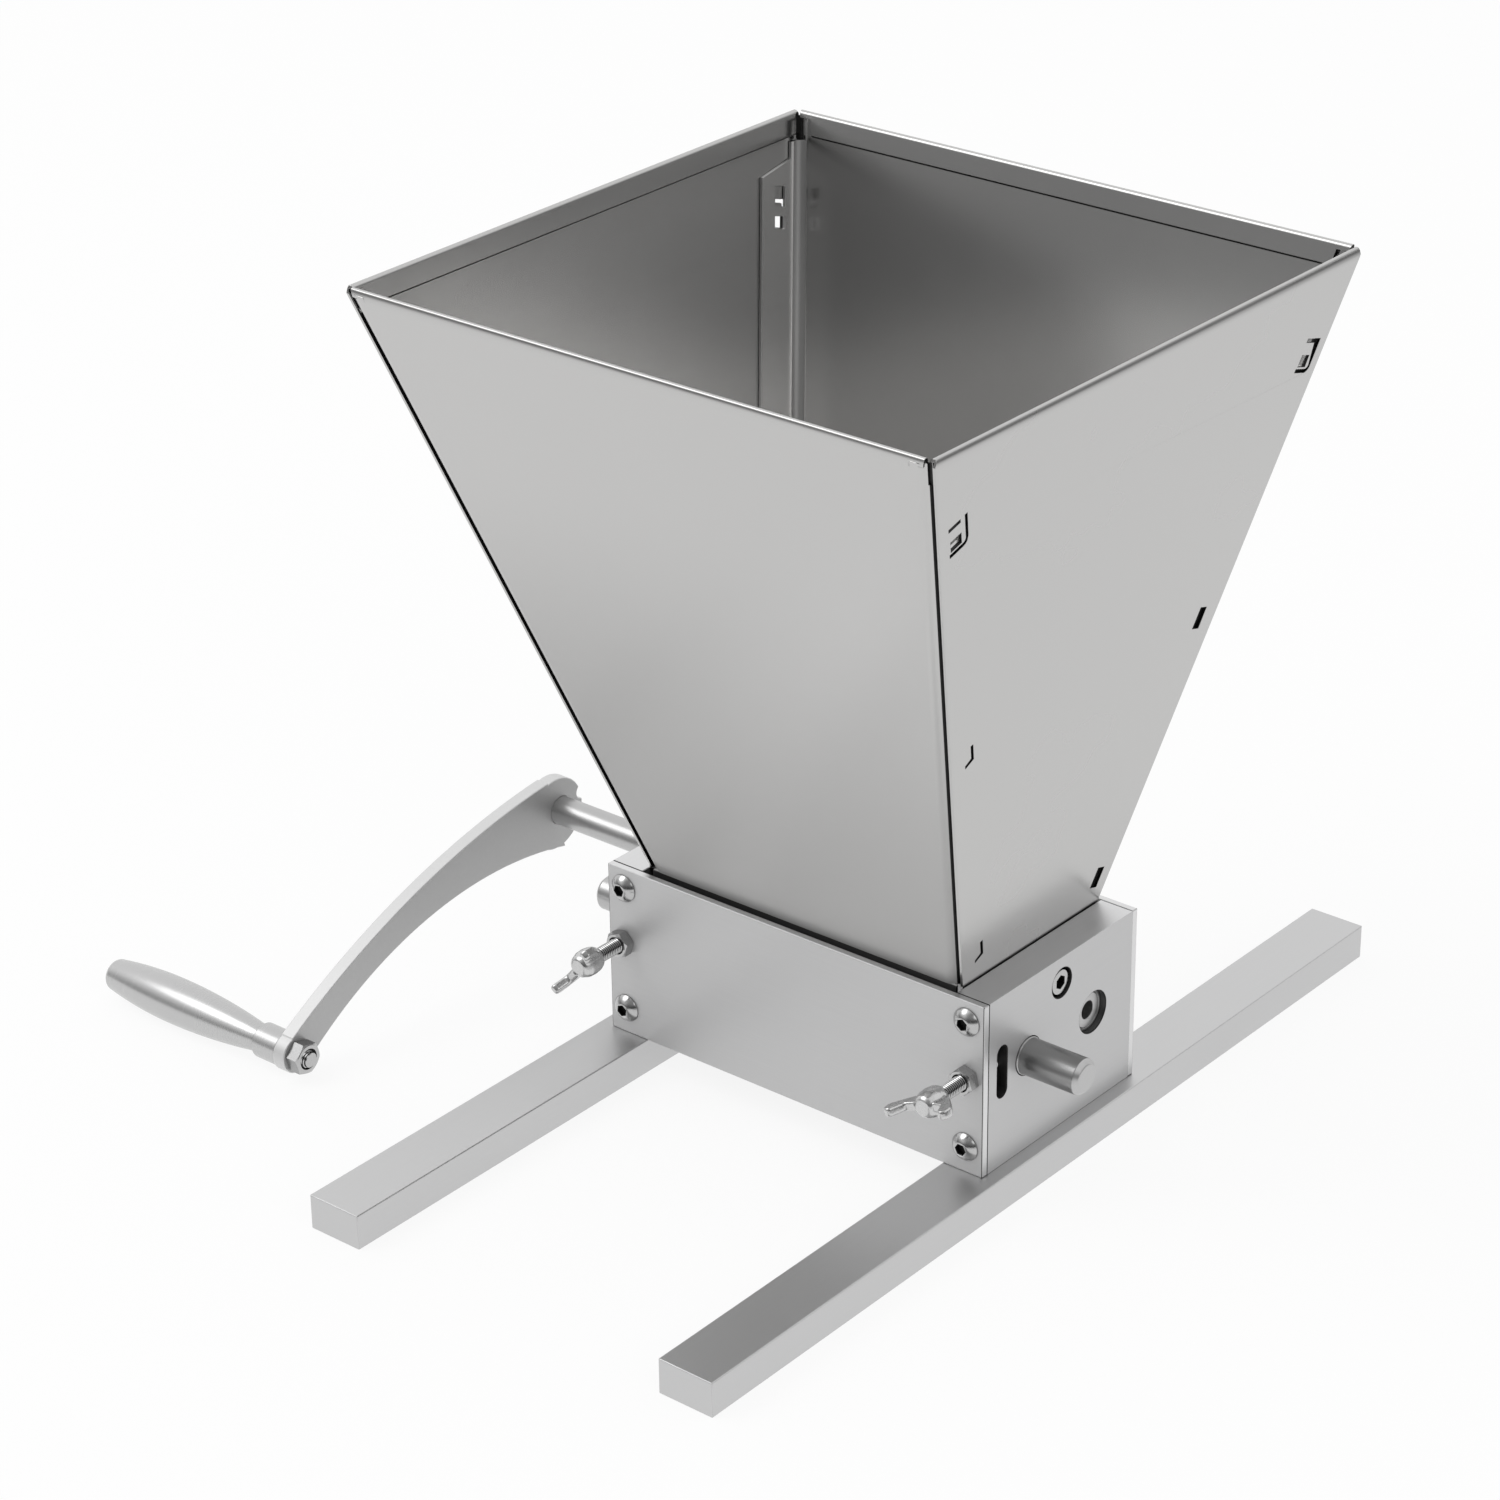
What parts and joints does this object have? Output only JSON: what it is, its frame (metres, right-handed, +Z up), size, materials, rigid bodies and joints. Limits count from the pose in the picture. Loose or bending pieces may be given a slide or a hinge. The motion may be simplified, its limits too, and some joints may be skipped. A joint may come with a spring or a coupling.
{
  "type": "malt mill",
  "caption": "Hand cranked roller malt mill: tapered sheet steel hopper over a boxy body on long base bars, curved side crank with a turned grip, wing screw clamps",
  "frame": {"origin": "under the centre of the mill body, on the plane that the base bars stand on", "axes": "+X along the rollers away from the crank, +Y from the front plate to the back plate, +Z up"},
  "size_m": [0.3411, 0.343, 0.281],
  "materials": {
    "sheet_steel": "fine satin stainless sheet",
    "plates": "fine satin stainless plate",
    "aluminium_parts": "satin, milled",
    "crank_metal": "bright turned and cut",
    "fasteners": "plain stainless fasteners",
    "roller_steel": "knurled steel",
    "shaft_steel": "turned steel",
    "bronze": "plain bearing bronze"
  },
  "bodies": {
    "frame": {"left_bar": "aluminium_parts", "right_bar": "aluminium_parts", "bar_screws": "fasteners", "left_block": "aluminium_parts", "right_block": "aluminium_parts", "front_plate": "plates", "back_plate": "plates", "front_plate_screws": "fasteners", "back_plate_screws": "fasteners", "clamp_nuts": "fasteners", "tie_rod": "shaft_steel", "tie_rod_screws": "fasteners", "rear_bushes": "shaft_steel"},
    "crank": {"drive_shaft": "shaft_steel", "drive_roller": "roller_steel", "crank_arm": "crank_metal", "arm_set_screw": "fasteners", "grip_bolt": "fasteners", "grip_nut": "fasteners", "grip_collar": "crank_metal"},
    "grip": {"grip": "crank_metal"},
    "axle": {"front_axle": "shaft_steel"},
    "idler": {"idler_roller": "roller_steel", "idler_bushes": "bronze"},
    "left_clamp_pad": {"left_pad": "bronze"},
    "right_clamp_pad": {"right_pad": "bronze"},
    "left_clamp_screw": {"left_wing_screw": "fasteners"},
    "right_clamp_screw": {"right_wing_screw": "fasteners"},
    "hopper": {"hopper_front": "sheet_steel", "hopper_back": "sheet_steel", "hopper_left": "sheet_steel", "hopper_right": "sheet_steel"}
  },
  "joints": [
    {"name": "crank_turn", "type": "hinge", "parent": "frame", "child": "crank", "pos_m": [0, 0.017, 0.045], "axis": [1, 0, 0], "continuous": true},
    {"name": "grip_spin", "type": "hinge", "parent": "crank", "child": "grip", "pos_m": [-0.19, -0.11296, 0.00847], "axis": [1, 0, 0], "continuous": true},
    {"name": "gap_adjust", "type": "hinge", "parent": "frame", "child": "axle", "pos_m": [0, -0.017, 0.045], "axis": [1, 0, 0], "range_deg": [-60, 60]},
    {"name": "idler_spin", "type": "hinge", "parent": "axle", "child": "idler", "pos_m": [0, -0.017, 0.046], "axis": [1, 0, 0], "continuous": true},
    {"name": "hopper_lift", "type": "slide", "parent": "frame", "child": "hopper", "axis": [0, 0, 1], "range_m": [0, 0.06]},
    {"name": "left_pad_travel", "type": "slide", "parent": "frame", "child": "left_clamp_pad", "axis": [0, -1, 0], "range_m": [0, 0.0016]},
    {"name": "left_clamp_turn", "type": "hinge", "parent": "left_clamp_pad", "child": "left_clamp_screw", "pos_m": [-0.069, -0.053, 0.0455], "axis": [0, -1, 0], "range_deg": [0, 722]},
    {"name": "right_pad_travel", "type": "slide", "parent": "frame", "child": "right_clamp_pad", "axis": [0, -1, 0], "range_m": [0, 0.0016]},
    {"name": "right_clamp_turn", "type": "hinge", "parent": "right_clamp_pad", "child": "right_clamp_screw", "pos_m": [0.069, -0.053, 0.0455], "axis": [0, -1, 0], "range_deg": [0, 722]}
  ],
  "couplings": [
    {"joint": "left_clamp_turn", "follows": "left_pad_travel", "rad_per_m": 7854},
    {"joint": "right_clamp_turn", "follows": "right_pad_travel", "rad_per_m": 7854}
  ]
}
